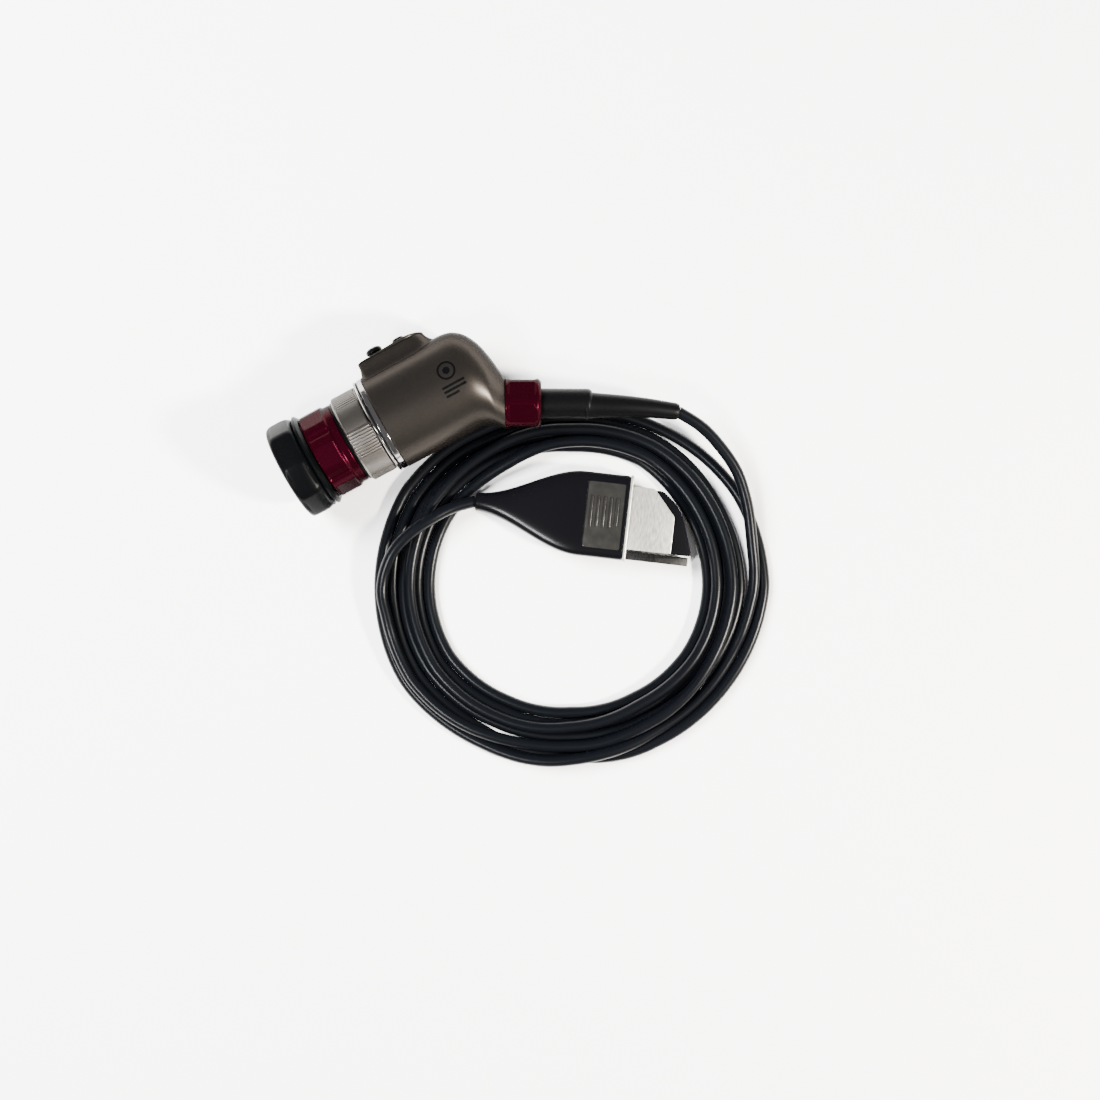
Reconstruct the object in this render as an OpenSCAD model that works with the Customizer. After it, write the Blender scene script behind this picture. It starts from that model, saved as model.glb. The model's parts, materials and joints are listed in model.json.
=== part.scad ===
// Endoscopic video camera head with its coiled cable and flat plug.
// The head's parts are drawn in the head's own frame: z runs back from the coupler's front face
// along the optical axis, x is up and y points to the cable's side, away from the buttons.
// at_head() lays that frame on its side on the table, with the front towards row +X.

/* [Coupler] */
// Bore that takes the scope's eyepiece
socket_d = 32.2; // [30:0.1:40]
// Depth of that bore behind the jaws
socket_l = 4.5; // [3:0.1:7]
// Wall of the coupler body around the bore
body_wall = 2.15; // [2:0.05:4]
// Wall of the turning coupler ring
ring_wall = 2.55; // [2.5:0.05:4]
// Closed front skin of the coupler ring
ring_skin = 1.2; // [0.8:0.1:3]
// Depth of the cam slots behind that skin
cam_depth = 1.9; // [1.2:0.1:3]
// Degrees that the coupler ring turns to open the jaws
coupler_turn = 25; // [18:1:30]
// Distance that each jaw slides outwards
jaw_travel = 1.8; // [1.5:0.05:1.9]
// How far the closed jaws reach inside the bore
jaw_reach = 1.2; // [0.6:0.1:1.4]
// Width of a jaw
jaw_w = 8; // [5:0.5:10]
// Thickness of a jaw
jaw_t = 2; // [1.5:0.1:3]
// Radius of a jaw's cam pin
jaw_pin_r = 0.55; // [0.4:0.05:0.65]
// Thickness of the fixed shoulder behind the coupler ring
shoulder_t = 2.3; // [1.5:0.1:4]
// Number of shallow finger scallops round the coupler ring
ring_scallops = 9; // [6:1:14]

/* [Optics] */
// Inner diameter of the lens barrel
barrel_d = 27.6; // [25:0.2:34]
// Wall of the lens barrel
barrel_wall = 2.8; // [2.2:0.1:4]
// Clear radius through the front of the barrel
light_r = 11; // [8:0.5:12]
// Length of the barrel's threaded spigot in the coupler body
spigot_l = 1.3; // [1:0.1:3]
// Length of a lens cell
cell_l = 5; // [4:0.2:6]
// Wall of a lens cell
cell_wall = 1.75; // [1.2:0.05:2.4]
// Radius of a cell's drive pin
pin_r = 0.8; // [0.6:0.05:1]
// Degrees that the focus ring turns each way
focus_turn = 40; // [20:1:50]
// Focus cell travel each way
focus_travel = 1.5; // [0.5:0.1:2]
// Degrees that the zoom ring turns
zoom_turn = 75; // [40:1:90]
// Zoom cell travel
zoom_travel = 6; // [3:0.5:7]
// Depth of the drive groove inside a ring
groove_depth = 0.8; // [0.5:0.05:0.9]

/* [Rings] */
// Length of the focus ring's lobed crown
crown_l = 10.5; // [8:0.5:14]
// Length of its smooth collar
collar_l = 3.3; // [2:0.1:6]
// Wall of the focus ring
focus_wall = 1.55; // [1.4:0.05:3]
// Number of lobes round the focus ring
focus_lobes = 6; // [5:1:12]
// Thickness of the spacer between the rings
spacer_t = 0.6; // [0.4:0.1:1.5]
// Length of the zoom ring
zoom_l = 11.6; // [11:0.2:16]
// Wall of the zoom ring
zoom_wall = 2.15; // [1.5:0.05:3]
// Number of ribbed sectors round the zoom ring
zoom_sectors = 5; // [3:1:8]
// Ribs in one sector
sector_ribs = 9; // [5:1:14]
// Length of the bezel ring
bezel_l = 3.9; // [3:0.1:6]

/* [Housing] */
// Outer diameter of the housing
housing_d = 41.3; // [40:0.1:52]
// Wall of the housing
wall = 1.5; // [1:0.1:2.2]
// Straight length of the housing
straight_l = 37; // [34:0.5:48]
// Length of the domed end
dome_l = 14; // [11:0.5:20]
// Length of the barrel's seat in the housing mouth
seat_l = 3; // [2:0.1:5]
// Height of the button pad above the housing
pad_h = 6.35; // [5:0.05:9]
// Width of the button pad
pad_w = 17; // [14:0.5:20]
// Length of the button pad
pad_l = 29.7; // [27:0.1:32]
// Diameter of a button
button_d = 5.5; // [4:0.1:7]
// How far the front button stands above the pad
button_proud = 2; // [1:0.1:4]
// Button travel
button_travel = 0.8; // [0.4:0.1:1]

/* [Cable exit] */
// Tilt of the cable gland from the optical axis, degrees
gland_tilt = 28.5; // [10:0.5:35]
// Distance of the gland face's centre from the optical axis
gland_offset = 16.9; // [14:0.1:18]
// Distance of the gland face's centre in front of the dome's end
gland_setback = 3.6; // [2:0.1:6]
// Diameter of the gland nut
nut_d = 20.7; // [18:0.1:24]
// Length of the gland nut
nut_l = 14.9; // [13:0.1:20]
// Diameter of the threaded gland spigot
gland_d = 16.8; // [14:0.1:17.4]
// Diameter of the boot
boot_d = 12.6; // [9:0.1:13]
// Length of the boot behind the nut
boot_l = 21; // [12:0.5:24]
// Diameter of the cable
cord_d = 5; // [3.5:0.1:5.5]

/* [Coil] */
// Long outer diameter of the coil
coil_long = 168; // [150:1:200]
// Short outer diameter of the coil
coil_short = 153; // [140:1:190]
// Long diameter of the coil's hole
hole_long = 114; // [110:1:130]
// Short diameter of the coil's hole
hole_short = 108; // [104:1:120]
// Height of the coil
coil_h = 10; // [5:0.5:10]

/* [Plug] */
// Width of the plug's grip
plug_w = 35.8; // [30:0.2:42]
// Thickness of the plug
plug_t = 14; // [12:0.2:18]
// Diameter of the plug's tail
tail_d = 7.8; // [6:0.1:10]
// Length of the flared part of the overmould
flare_l = 45; // [30:0.5:46]
// Length of the grip
grip_l = 19; // [16:0.5:22]
// Thickness of the metal rim
rim_t = 2; // [1.5:0.1:3]
// Length of the metal plates
plate_l = 18; // [14:0.5:20]
// Thickness of the metal plates
plate_t = 1.5; // [1:0.1:2]
// Length of the side rail in front of the rim
rail_l = 25.5; // [20:0.5:27]
// Width of the side rail
rail_w = 3.7; // [3:0.1:5]

/* [Hidden] */

smooth = 96;
run = 0.05;       // radial clearance of a turning or sliding fit
seat = 0.02;      // radial clearance of a piece that is bonded or screwed in
gap = 0.3;        // axial gap between the shoulder and the rings
ring_gap = 0.2;   // axial gap on each side of a ring

// Coupler, from the front face back
socket_r = socket_d / 2;
entry_r = socket_r + 0.3;
body_r = socket_r + body_wall;
ring_bore_r = body_r + run;
ring_r = ring_bore_r + ring_wall;
cam_back_s = ring_skin + cam_depth;
body_s = cam_back_s + run;
jaw_s = body_s + run;
jaw_floor_s = jaw_s + jaw_t + run;
socket_end_s = jaw_floor_s + socket_l;
retainer_t = 0.4;
window_t = 1.5;
seal_t = 0.5;
seat_floor = 0.75;
window_s = socket_end_s + retainer_t;
seal_s = window_s + window_t;
spigot_s = seal_s + seal_t + seat_floor;
barrel_s = spigot_s + spigot_l;
shoulder_s = barrel_s - shoulder_t;
ring_end_s = shoulder_s - gap;
shoulder_r = ring_r - 0.85;
window_r = light_r + 1.4;
jaw_tip_r = socket_r - jaw_reach;
jaw_outer_r = ring_r - 1.2;               // of an open jaw
relief_r = ring_r - 0.95;                 // groove in the ring that the open jaws enter
jaw_pin_in_r = jaw_outer_r - jaw_travel - jaw_pin_r + 0.1;
scallop_depth = 0.4;
scallop_r = 14;
spring_wire = 0.8;
spring_s = ring_end_s - 4;
spring_w = 2.4;
spring_floor_r = body_r - 1.05;
clip_s = ring_end_s - 1;
clip_wire_r = 0.4;

// Optics and rings
barrel_r = barrel_d / 2;
land_r = barrel_r + barrel_wall;
spigot_r = light_r + 2;
focus_bore_r = land_r + run;
focus_r = focus_bore_r + focus_wall;
collar_r = focus_r - 0.9;
focus_s = barrel_s + gap;
focus_end_s = focus_s + crown_l + collar_l;
spacer_s = focus_end_s + ring_gap;
zoom_s = spacer_s + spacer_t + ring_gap;
zoom_r = focus_bore_r + zoom_wall;
bezel_s = zoom_s + zoom_l + ring_gap;
housing_s = bezel_s + bezel_l;
barrel_end_s = housing_s + seat_l;
focus_pin_s = focus_s + crown_l / 2;
zoom_pin_s = zoom_s + zoom_l / 2 - zoom_travel / 2;
cell_r = barrel_r - run;
cell_bore_r = cell_r - cell_wall;
lens_r = cell_bore_r - seat;
lens_edge = 2.4;
lens_bulge = 0.9;
slot_clear = 0.1;
lobe_turn = 10;
groove_r = pin_r + 0.35;                  // of each drilled step, wider than the pin
groove_steps = 24;
relay_s = barrel_end_s - 5.4;

// Housing
housing_r = housing_d / 2;
bore_r = housing_r - wall;
flange_r = bore_r - run;
dome_s = housing_s + straight_l;
end_s = dome_s + dome_l;
dome_steps = 12;
gland_s = end_s - gland_setback;
neck_r = nut_d / 2 - 0.1;
neck_l = 22;
neck_flare = 3.25;
pad_s = housing_s + 1.7;
pad_top = housing_r + pad_h;
pad_corner_r = 2;
cover_t = 1.5;
pocket_wall = 2;
pocket_floor = housing_r - 0.45;
pocket_top = pad_top - cover_t;
front_button_s = pad_s + 8.3;
rear_button_s = pad_s + 19.3;
rear_button_proud = 0.8;
button_r = button_d / 2;
flex_hole_r = 1.2;    // for the flexible lead of the switch board
flange_w = 0.9;
flange_t = 1;
board_t = 1;
switch_t = 1.4;
gasket_t = 0.8;
gasket_top = pocket_floor + board_t + switch_t + gasket_t;

// Inside the housing
plate_th = 2;
rail_gap = 17;
rail_th = 1.5;
rail_h = 8;
rail_long = 31;
prism_w = 15;
prism_h = 13;
prism_l = 13;
sensor_t = 1.2;
chassis_s = barrel_end_s;
prism_s = chassis_s + plate_th;
pcb_s = prism_s + prism_l + sensor_t + 1;
pcb_l = 16;
pcb_t = 1.6;
screw_r = 1;

// Cable exit, along the gland's own axis from its face
gland_r = gland_d / 2;
spigot_wall = 1.5;
gland_l = 7;
boot_flange_t = 1.4;
boot_r = boot_d / 2;
nut_chamfer = 1;
nut_flats = 6;
flat_depth = 0.45;
oring_r = 0.5;
clamp_l = 9;

// Table placing: the head lies on its widest ring, and its own box is centred on the origin
tail_corner = (nut_d / 2 - nut_chamfer) * sin(gland_tilt) + nut_l * cos(gland_tilt);
rear_end = gland_s + tail_corner;
side_end = gland_offset + (nut_l - nut_chamfer) * sin(gland_tilt) + nut_d / 2 * cos(gland_tilt);
button_end = pad_top + button_proud;
head_x = rear_end / 2;
head_y = (button_end - side_end) / 2;
head_z = max(ring_r, housing_r);

// Route of the free cable in the row frame, from the boot to the coil and from the coil to the plug
sleeve_pts = [[-69, 33.1, 20.9], [-79, 38.9, 20.6], [-89, 45.1, 19.6], [-99, 52, 17.8]];
lead_pts = [[-99, 52, 17.8], [-105.3, 63, 15.6], [-108.6, 75.7, 13.2], [-109.6, 85.7, 11.2],
    [-108.7, 92.9, 9.8], [-107.1, 99.7, 8.8], [-105, 106.2, 8], [-100.5, 113.8, 7.5]];
tail_pts = [[47, 60, 7.6], [42, 53, 8.6], [34, 46.5, 10.4], [24, 43, 11.8], [13, 41.8, 11.4],
    [3, 41.8, 9.2], [-7, 44, 7]];
sleeve_r1 = 5.5;
sleeve_r2 = cord_d / 2 + 0.5;
cord_sides = 8;
cord_steps = 4;
coil_centre = [-25, 95.5];
hole_centre = [-26, 92];
coil_turn = 151.5;
coil_facets = 72;

// Plug, in its own frame: x from the tail's end to the mating end, z up from the table
plug_at = [-7, 44];
plug_turn = 145;
flare_steps = 16;
rim_s = flare_l + grip_l;
plate_s = rim_s + rim_t;
rim_proud = 0.3;
plug_wall = 2.5;
plate_top_w = 13.6;
plate_low_w = 13;
plate_cut_l = 9.6;
plate_cut_w = 11;
insulator_t = 8.4;
insulator_over = 4;
mouth_slant = 5;      // how much further the insulator reaches on the rail's side
edge_board_t = 1.6;
board_w = 11.4;       // half width of the edge board
slot_gap = 0.3;
pad_recess = 0.4;
grip_pad_l = 16;
grip_pad_w = 28;
contact_count = 8;
contact_pitch = 1.5;
contact_y = -4.5;
contact_l = 7;
contact_t = 0.2;

// Places and shared shapes
module at_head() {
    translate([head_x, head_y, head_z]) rotate([0, -90, 0]) children();
}

// From here on, z runs out of the gland face along the cable
module at_gland() {
    translate([0, gland_offset, gland_s]) rotate([-gland_tilt, 0, 0]) children();
}

module at_plug() {
    translate([plug_at[0], plug_at[1], 0]) rotate(plug_turn) children();
}

module turned(points) {
    rotate_extrude($fn = smooth) polygon(points);
}

module tube(outer_r, inner_r, from, to) {
    turned([[inner_r, from], [outer_r, from], [outer_r, to], [inner_r, to]]);
}

// Ring of round wire
module wire_ring(major_r, wire_r, s, sweep = 360) {
    translate([0, 0, s]) rotate_extrude(angle = sweep, $fn = smooth)
        translate([major_r, 0]) circle(wire_r, $fn = 24);
}

// Drilled hole or pin that points straight out from the optical axis
module radial(angle, s, r, from, to) {
    rotate(angle) translate([from, 0, s]) rotate([0, 90, 0]) cylinder(r = r, h = to - from, $fn = 32);
}

// Stadium outline with small corners at its low end and a round high end
module pad_outline(length, width, corner) {
    translate([corner, -width / 2]) square([length - corner - width / 2, width]);
    translate([0, corner - width / 2]) square([length / 2, width - 2 * corner]);
    translate([length - width / 2, 0]) circle(width / 2, $fn = smooth);
    for (side = [-1, 1])
        translate([corner, side * (width / 2 - corner)]) circle(corner, $fn = 32);
}

// Slab of the button pad between two depths below its top, inset from the pad's outline
module pad_slab(inset, low, high) {
    translate([0, -low, pad_s]) rotate([90, 0, 0]) rotate(90) linear_extrude(high - low)
        translate([inset, 0])
            pad_outline(pad_l - 2 * inset, pad_w - 2 * inset, max(pad_corner_r - inset, 0.5));
}

module button_bore(s, r, low, high) {
    translate([0, -low, s]) rotate([90, 0, 0]) cylinder(r = r, h = high - low, $fn = 48);
}

// Coupler
// Middle of a cam slot at a share t of the ring's turn, for the jaw at angle 0
function cam_r(t) = jaw_pin_in_r + jaw_travel * t;
function cam_point(t, side) =
    let (a = -coupler_turn * t,
        slope = atan(jaw_travel / (cam_r(t) * coupler_turn * PI / 180)),
        w = side * (jaw_pin_r + run))
    cam_r(t) * [cos(a), sin(a)] + w * [cos(a + slope), sin(a + slope)];

module cam_slot() {
    steps = 10;
    translate([0, 0, ring_skin]) linear_extrude(cam_depth + 0.01) {
        polygon([for (i = [0:steps]) cam_point(i / steps, 1),
            for (i = [steps:-1:0]) cam_point(i / steps, -1)]);
        for (t = [0, 1])
            rotate(-coupler_turn * t) translate([cam_r(t), 0])
                circle(jaw_pin_r + run, $fn = 32);
    }
}

module coupler_ring() {
    color("#1b1d1c") difference() {
        turned([[entry_r, 0.6], [entry_r + 0.6, 0], [ring_r - 2.2, 0], [ring_r - 1, 0.4],
            [ring_r - 0.3, 1.2], [ring_r, 2.4], [ring_r, ring_end_s - 0.8],
            [ring_r - 0.5, ring_end_s], [ring_bore_r, ring_end_s], [ring_bore_r, jaw_floor_s + 0.4],
            [relief_r, jaw_floor_s + 0.4], [relief_r, cam_back_s], [entry_r, cam_back_s]]);
        for (i = [0:2]) rotate(120 * i) cam_slot();
        for (i = [0:ring_scallops - 1])
            rotate(360 / ring_scallops * (i + 0.5))
                translate([ring_r + scallop_r - scallop_depth, 0, 2.6])
                    cylinder(r = scallop_r, h = ring_end_s - 5.2, $fn = smooth);
        wire_ring(body_r, clip_wire_r + run, clip_s);
    }
}

module coupler_body() {
    color("#202221") difference() {
        turned([[entry_r, body_s], [body_r, body_s], [body_r, shoulder_s],
            [shoulder_r - 0.5, shoulder_s], [shoulder_r, shoulder_s + 0.5],
            [shoulder_r - 0.1, shoulder_s + 1.2], [shoulder_r - 1.4, barrel_s],
            [spigot_r + seat, barrel_s], [spigot_r + seat, spigot_s], [light_r, spigot_s],
            [light_r, seal_s + seal_t], [window_r + seat, seal_s + seal_t],
            [window_r + seat, socket_end_s], [socket_r, socket_end_s],
            [socket_r, jaw_floor_s], [entry_r, jaw_floor_s]]);
        for (i = [0:2])
            rotate(120 * i) translate([light_r, -jaw_w / 2 - run, body_s - 1])
                cube([ring_r, jaw_w + 2 * run, jaw_floor_s - body_s + 1]);
        tube(body_r + 1, spring_floor_r, spring_s - spring_w / 2, spring_s + spring_w / 2);
        wire_ring(body_r, clip_wire_r + run, clip_s);
    }
}

// Closed jaw at angle 0; its pin rides in the ring's cam slot
module jaw(i) {
    color("silver") rotate(120 * i) {
        intersection() {
            translate([0, -jaw_w / 2, jaw_s]) cube([ring_r, jaw_w, jaw_t]);
            translate([-jaw_travel, 0, jaw_s]) cylinder(r = jaw_outer_r, h = jaw_t, $fn = smooth);
            tube(ring_r, jaw_tip_r, jaw_s, jaw_s + jaw_t);
        }
        translate([jaw_pin_in_r, 0, ring_skin + 0.1])
            cylinder(r = jaw_pin_r, h = jaw_s - ring_skin, $fn = 32);
    }
}

module jaw_1() { jaw(0); }
module jaw_2() { jaw(1); }
module jaw_3() { jaw(2); }

module coupler_spring() {
    color("silver") for (turn = [-1, 1])
        rotate(90 * turn)
            wire_ring(spring_floor_r + spring_wire / 2 + run, spring_wire / 2,
                spring_s + turn * spring_wire * 0.6, 330);
}

module coupler_circlip() {
    color("silver") wire_ring(body_r, clip_wire_r, clip_s, 345);
}

module window_retainer() {
    color("dimgray") tube(window_r, light_r + 0.2, socket_end_s, window_s);
}

module front_window() {
    color("lightcyan") tube(window_r, 0, window_s, seal_s);
}

module window_seal() {
    color("black") tube(window_r, light_r + 0.2, seal_s, seal_s + seal_t);
}

// Optics
// Straight slot in the barrel for a drive pin that travels from low to high
module drive_slot(low, high) {
    r = pin_r + slot_clear;
    for (s = [low, high]) radial(0, s, r, barrel_r - 1, land_r + 1);
    translate([barrel_r - 1, -r, low]) cube([barrel_wall + 2, 2 * r, high - low]);
}

// Helical groove inside a ring, cut as a row of overlapping drillings
module drive_groove(pin_s, from_turn, to_turn, from_s, to_s) {
    for (i = [0:groove_steps]) {
        t = i / groove_steps;
        radial(-(from_turn + (to_turn - from_turn) * t), pin_s + from_s + (to_s - from_s) * t,
            groove_r, land_r - 1, focus_bore_r + groove_depth);
    }
}

module drive_pin(s) {
    color("silver") radial(0, s, pin_r, cell_bore_r + 0.1, focus_bore_r + groove_depth - 0.1);
}

module lens_cell(s) {
    color("#303234") difference() {
        turned([[cell_bore_r - 0.8, s - cell_l / 2], [cell_r, s - cell_l / 2],
            [cell_r, s + cell_l / 2], [cell_bore_r, s + cell_l / 2],
            [cell_bore_r, s - cell_l / 2 + 0.6], [cell_bore_r - 0.8, s - cell_l / 2 + 0.6]]);
        radial(0, s, pin_r + seat, cell_bore_r - 1, cell_r + 1);
    }
}

// Biconvex lens on the optical axis with its front edge at s
module lens(r, s) {
    steps = 8;
    color("lightblue") turned([
        for (i = [0:steps]) [r * i / steps, s - lens_bulge * (1 - pow(i / steps, 2)) + lens_bulge],
        for (i = [steps:-1:0])
            [r * i / steps, s + lens_bulge + lens_edge + lens_bulge * (1 - pow(i / steps, 2))]]);
}

module lens_barrel() {
    color("#2a2c2d") difference() {
        turned([[light_r, spigot_s], [spigot_r, spigot_s], [spigot_r, barrel_s],
            [land_r, barrel_s], [land_r, bezel_s], [flange_r, bezel_s],
            [flange_r, barrel_end_s], [barrel_r, barrel_end_s], [barrel_r, barrel_s + 1],
            [light_r, barrel_s + 1]]);
        tube(land_r + 1, land_r - 0.5, spacer_s - seat, spacer_s + spacer_t + seat);
        tube(flange_r + 1, flange_r - 2 * oring_r, barrel_end_s - 2, barrel_end_s - 0.8);
        drive_slot(focus_pin_s - focus_travel, focus_pin_s + focus_travel);
        drive_slot(zoom_pin_s, zoom_pin_s + zoom_travel);
    }
}

module focus_ring() {
    crown_end = focus_s + crown_l;
    color("crimson") difference() {
        turned([[focus_bore_r, focus_s], [focus_r - 0.7, focus_s], [focus_r, focus_s + 0.9],
            [focus_r, crown_end - 0.9], [collar_r + 0.2, crown_end], [collar_r, crown_end + 0.3],
            [collar_r, focus_end_s - 0.5], [collar_r - 0.4, focus_end_s],
            [focus_bore_r, focus_end_s]]);
        for (i = [0:focus_lobes - 1])
            rotate(360 / focus_lobes * i + lobe_turn)
                translate([focus_r + 24 - 0.45, 0, focus_s + 1])
                cylinder(r = 24, h = crown_l - 2, $fn = smooth);
        drive_groove(focus_pin_s, -focus_turn, focus_turn, -focus_travel, focus_travel);
    }
}

module focus_cell() { lens_cell(focus_pin_s); }
module focus_lens() { lens(lens_r, focus_pin_s - cell_l / 2 + 0.6); }
module focus_pin() { drive_pin(focus_pin_s); }

module neck_spacer() {
    color("#1a1a1c") tube(land_r + 0.8, land_r - 0.48, spacer_s, spacer_s + spacer_t);
}

module zoom_ring() {
    rib_step = 180 / zoom_sectors / sector_ribs;
    color("gainsboro") difference() {
        turned([[focus_bore_r, zoom_s], [zoom_r - 0.6, zoom_s], [zoom_r, zoom_s + 0.6],
            [zoom_r, zoom_s + zoom_l - 0.6], [zoom_r - 0.6, zoom_s + zoom_l],
            [focus_bore_r, zoom_s + zoom_l]]);
        for (i = [0:zoom_sectors - 1], j = [0:sector_ribs - 1])
            rotate(360 / zoom_sectors * i + rib_step * (j + 0.5))
                translate([zoom_r, 0, zoom_s - 1]) rotate(45)
                    cube([0.8, 0.8, 2 * zoom_l + 4], center = true);
        drive_groove(zoom_pin_s, 0, zoom_turn, 0, zoom_travel);
    }
}

module zoom_cell() { lens_cell(zoom_pin_s); }
module zoom_lens() { lens(lens_r, zoom_pin_s - cell_l / 2 + 0.6); }
module zoom_pin() { drive_pin(zoom_pin_s); }

module relay_cell() {
    color("#303234") turned([[cell_bore_r, relay_s], [barrel_r - seat, relay_s],
        [barrel_r - seat, barrel_end_s], [cell_bore_r - 1, barrel_end_s],
        [cell_bore_r - 1, barrel_end_s - 0.8], [cell_bore_r, barrel_end_s - 0.8]]);
}

module relay_lens() {
    lens(lens_r, barrel_end_s - 0.8 - lens_edge - 2 * lens_bulge);
}

module bezel_ring() {
    color("white") turned([[flange_r + seat, bezel_s], [housing_r - 0.5, bezel_s],
        [housing_r - 0.2, bezel_s + 0.3], [housing_r - 0.2, bezel_s + 0.8],
        [housing_r - 0.9, bezel_s + 1], [housing_r - 0.9, bezel_s + 1.6],
        [housing_r - 0.2, bezel_s + 1.8], [housing_r - 0.2, housing_s - 0.2],
        [housing_r - 0.4, housing_s], [flange_r + seat, housing_s]]);
}

module bezel_seal() {
    color("black") wire_ring(flange_r - oring_r + 0.02, oring_r, barrel_end_s - 1.4);
}

// Housing
// Straight body with a domed end, shrunk by inset
module barrel_and_dome(inset, from) {
    r = housing_r - inset;
    l = dome_l - inset;
    turned([[0, from], [r, from],
        for (i = [0:dome_steps - 1])
            [r * cos(90 * i / dome_steps), dome_s + l * sin(90 * i / dome_steps)],
        [0, dome_s + l]]);
}

// Tilted neck that runs out of the dome to the gland face
module neck(inset, top) {
    at_gland() translate([0, 0, -neck_l])
        cylinder(r1 = neck_r + neck_flare - inset, r2 = neck_r - inset, h = neck_l - top,
            $fn = smooth);
}

module housing_shell() {
    color("#6d6862") difference() {
        union() {
            barrel_and_dome(0, housing_s);
            neck(0, 0);
            difference() {
                pad_slab(0, bore_r / 2, pocket_top);
                barrel_and_dome(wall / 2, housing_s);
            }
            at_gland() cylinder(r = gland_r, h = gland_l, $fn = smooth);
        }
        translate([0, 0, housing_s - 1]) cylinder(r = bore_r, h = 2, $fn = smooth);
        barrel_and_dome(wall, housing_s);
        neck(wall, wall);
        at_gland() translate([0, 0, -wall - 1])
            cylinder(r = gland_r - spigot_wall, h = gland_l + wall + 2, $fn = smooth);
        pad_slab(pocket_wall, pocket_floor, pocket_top + 1);
        button_bore(rear_button_s + 4, flex_hole_r, bore_r - 2, pocket_floor + 1);
    }
}

module button_cover() {
    color("#736e68") difference() {
        union() {
            pad_slab(0, pocket_top, pad_top - 0.7);
            pad_slab(0.7, pad_top - 0.7, pad_top);
        }
        for (s = [front_button_s, rear_button_s])
            button_bore(s, button_r + run, pocket_top - 1, pad_top + 1);
    }
}

module button(s, proud) {
    top = pad_top + proud;
    color("black") {
        button_bore(s, button_r, pocket_top - flange_t - 0.1, top - 0.5);
        button_bore(s, button_r - 0.5, top - 0.5, top);
        button_bore(s, button_r + flange_w, pocket_top - flange_t - 0.1, pocket_top - 0.1);
    }
}

module front_button() { button(front_button_s, button_proud); }
module rear_button() { button(rear_button_s, rear_button_proud); }

module button_gasket() {
    color("#444444")
        pad_slab(pocket_wall + run, gasket_top - gasket_t, gasket_top);
}

module tact_switches() {
    low = pocket_floor + board_t;
    color("silver") for (s = [front_button_s, rear_button_s])
        translate([-2.2, -low - switch_t, s - 2.2]) cube([4.4, switch_t, 4.4]);
}

module switch_board() {
    color("darkgreen") pad_slab(pocket_wall + run, pocket_floor, pocket_floor + board_t);
}

// Inside the housing
module chassis() {
    color("#8d8f90") difference() {
        union() {
            tube(bore_r - run, light_r - 0.5, chassis_s, prism_s);
            for (side = [-1, 1])
                translate([-rail_h / 2, side * (rail_gap + rail_th) / 2 - rail_th / 2, chassis_s])
                    cube([rail_h, rail_th, rail_long + plate_th]);
        }
        for (side = [-1, 1], s = [3, pcb_l - 3])
            translate([rail_h / 2 - 3, side * (rail_gap + rail_th) / 2, pcb_s + s])
                rotate([0, 90, 0]) cylinder(r = 0.5, h = 4, $fn = 24);
    }
}

module prism_block() {
    color("aliceblue") translate([-prism_h / 2, -prism_w / 2, prism_s])
        cube([prism_h, prism_w, prism_l]);
}

// Flat image sensor that lies on one face of the prism
module side_sensor(side) {
    low = side > 0 ? prism_h / 2 : -prism_h / 2 - sensor_t;
    translate([low, -5, prism_s + 1.5]) cube([sensor_t, 10, 10]);
}

module sensor_red() { color("darkred") side_sensor(1); }
module sensor_blue() { color("darkblue") side_sensor(-1); }
module sensor_green() {
    color("green") translate([-5, -6, prism_s + prism_l]) cube([10, 12, sensor_t]);
}

module main_board() {
    w = rail_gap + 2 * rail_th + 1;
    low = rail_h / 2;
    color("darkgreen") difference() {
        union() {
            translate([low, -w / 2, pcb_s]) cube([pcb_t, w, pcb_l]);
            for (side = [-1, 1])
                translate([low + pcb_t, side * 3.6 - 2.6, pcb_s + 5]) cube([1, 5.2, 6]);
        }
        for (side = [-1, 1], s = [3, pcb_l - 3])
            translate([low - 1, side * (rail_gap + rail_th) / 2, pcb_s + s])
                rotate([0, 90, 0]) cylinder(r = 0.55, h = 4, $fn = 24);
    }
}

module board_screws() {
    top = rail_h / 2 + pcb_t;
    color("silver") for (side = [-1, 1], s = [3, pcb_l - 3])
        translate([top, side * (rail_gap + rail_th) / 2, pcb_s + s]) rotate([0, 90, 0]) {
            cylinder(r = screw_r, h = 0.8, $fn = 32);
            translate([0, 0, -pcb_t - 2]) cylinder(r = 0.5 - seat, h = pcb_t + 2, $fn = 24);
        }
}

// Cable exit
module gland_nut() {
    r = nut_d / 2;
    step = gland_l + 0.05 + boot_flange_t;
    color("crimson") at_gland() difference() {
        turned([[gland_r + 1.2, 0], [r - 0.4, 0], [r, 0.4], [r, nut_l - nut_chamfer],
            [r - nut_chamfer, nut_l], [boot_r + run, nut_l], [boot_r + run, step],
            [gland_r + run, step], [gland_r + run, 1.1], [gland_r + 1.2, 1.1]]);
        for (i = [0:nut_flats - 1])
            rotate(360 / nut_flats * i) translate([r - flat_depth, -r, 1.5])
                cube([r, 2 * r, nut_l - 4]);
    }
}

module gland_seal() {
    color("black") at_gland() wire_ring(gland_r + run + oring_r, oring_r, oring_r);
}

module cable_clamp() {
    color("silver") at_gland()
        tube(gland_r - spigot_wall - seat, cord_d / 2 + 0.6, gland_l - clamp_l, gland_l);
}

module boot() {
    flange_s = gland_l + 0.02;
    color("#2b2c2e") at_gland() turned([[0, flange_s], [gland_r - 0.1, flange_s],
        [gland_r - 0.1, flange_s + boot_flange_t], [boot_r, flange_s + boot_flange_t],
        [boot_r, nut_l + boot_l - 0.6], [boot_r - 0.6, nut_l + boot_l], [0, nut_l + boot_l]]);
}

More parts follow.
